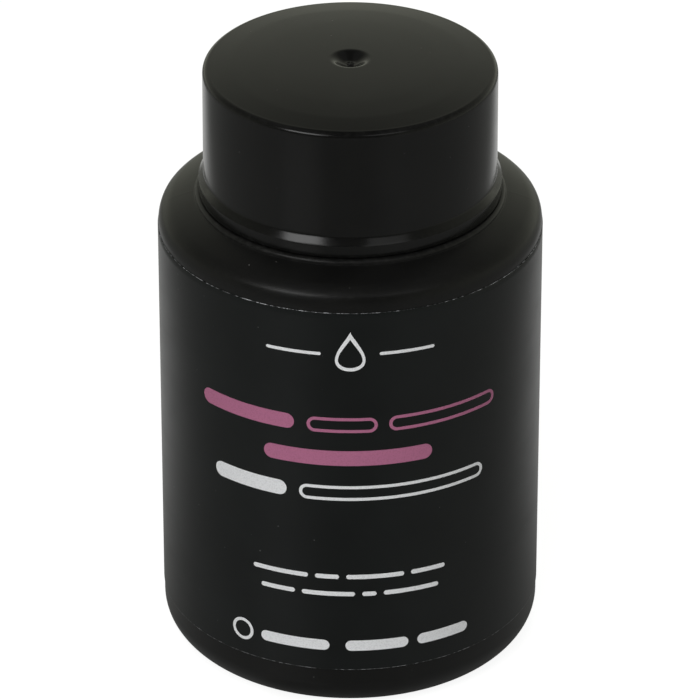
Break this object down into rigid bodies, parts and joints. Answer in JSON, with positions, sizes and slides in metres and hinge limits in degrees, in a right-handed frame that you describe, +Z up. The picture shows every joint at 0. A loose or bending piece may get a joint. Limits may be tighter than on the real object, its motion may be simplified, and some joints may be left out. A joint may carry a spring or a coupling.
{
  "type": "sponge jar with screw cap",
  "caption": "Round black plastic jar with a screw cap, a wrap-round label and a foam plug whose finger well holds nail polish remover.",
  "frame": {"origin": "centre of the ring that the jar stands on, on the surface below it", "axes": "+Z up along the axis of the jar, neck and cap; -Y through the front of the label; the label's two ends meet at +Y"},
  "size_m": [0.048, 0.048, 0.0799],
  "materials": {
    "jar_plastic": "satin black, moulded",
    "label_film": "satin black printed film, white at the cut edges",
    "foam": "open-cell foam, off-white",
    "cap_plastic": "glossy black, moulded",
    "liner_foam": "white foamed polyethylene"
  },
  "bodies": {
    "jar": {"jar": "jar_plastic", "label": "label_film", "sponge": "foam"},
    "liner": {"cap_liner": "liner_foam"},
    "cap": {"cap": "cap_plastic"}
  },
  "joints": [
    {"name": "cap_rise", "type": "slide", "parent": "jar", "child": "liner", "axis": [0, 0, 1], "range_m": [0, 0.016]},
    {"name": "cap_turn", "type": "hinge", "parent": "liner", "child": "cap", "pos_m": [0, 0, 0.07], "axis": [0, 0, 1], "range_deg": [0, 1800]}
  ],
  "couplings": [
    {"joint": "cap_rise", "follows": "cap_turn", "m_per_rad": 0.00050532}
  ]
}
